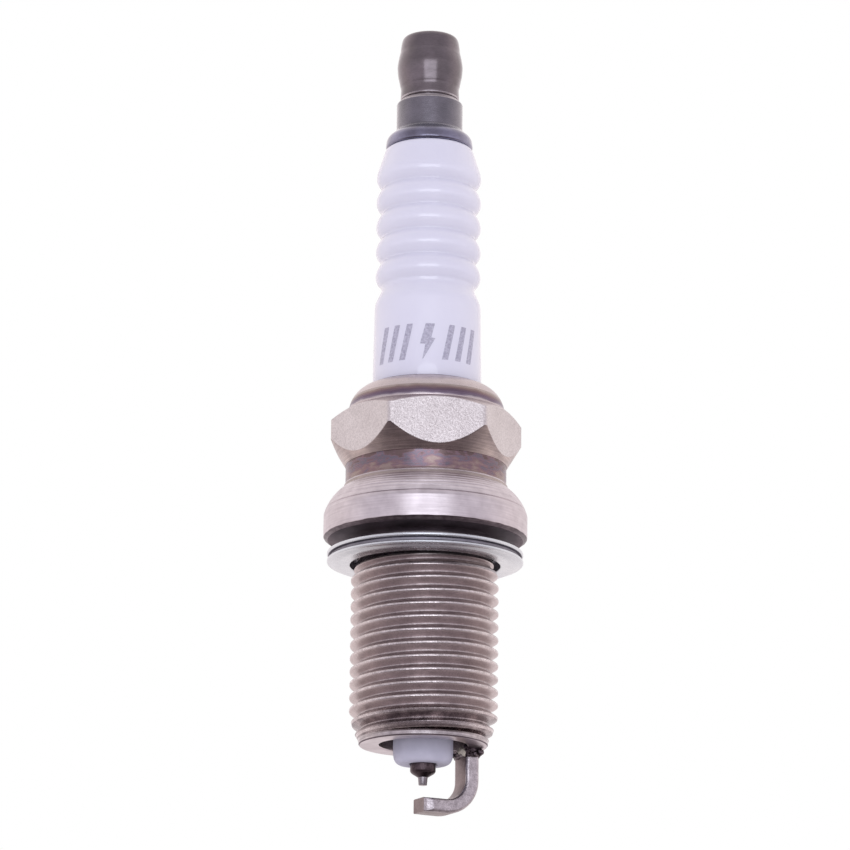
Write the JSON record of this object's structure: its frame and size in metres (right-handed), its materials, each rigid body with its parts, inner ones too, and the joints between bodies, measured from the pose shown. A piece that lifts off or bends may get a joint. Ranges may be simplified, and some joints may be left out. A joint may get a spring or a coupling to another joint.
{
  "type": "spark plug",
  "caption": "Spark plug with a removable terminal nut, ribbed ceramic insulator, hexagon shell, loose crush gasket, fine threaded reach and a bent ground electrode.",
  "frame": {"origin": "centre of the shell's seat, where the crush gasket seals", "axes": "+Z along the plug's axis towards the terminal, the firing end points down -Z"},
  "size_m": [0.0194, 0.0194, 0.0764],
  "materials": {
    "blackened_steel": "satin, darkened",
    "stud_steel": "satin, darkened",
    "glazed_alumina": "gloss glaze",
    "nickel_plated_steel": "satin nickel plate",
    "zinc_plated_sheet": "satin zinc plate",
    "electrode_nickel": "dark",
    "precious_tip": "satin",
    "strap_nickel": "satin",
    "weld_metal": "rough",
    "seal_glass": "fused",
    "resistor_mass": "matte",
    "copper": "satin",
    "talc": "matte",
    "packing_steel": "satin"
  },
  "bodies": {
    "plug": {"shell": "nickel_plated_steel", "insulator": "glazed_alumina", "terminal_stud": "stud_steel", "centre_electrode": "electrode_nickel", "firing_tip": "precious_tip", "ground_electrode": "strap_nickel", "ground_weld": "weld_metal", "upper_glass_seal": "seal_glass", "resistor": "resistor_mass", "lower_glass_seal": "seal_glass", "electrode_copper_core": "copper", "upper_packing_ring": "packing_steel", "talc_packing": "talc", "lower_packing_ring": "packing_steel", "inner_seat_washer": "packing_steel"},
    "nut": {"terminal_nut": "blackened_steel"},
    "gasket": {"crush_gasket": "zinc_plated_sheet"}
  },
  "joints": [
    {"name": "nut_removal", "type": "slide", "parent": "plug", "child": "nut", "axis": [0, 0, 1], "range_m": [0, 0.008]},
    {"name": "gasket_float", "type": "slide", "parent": "plug", "child": "gasket", "axis": [0, 0, 1], "range_m": [0, 0.0009]}
  ]
}
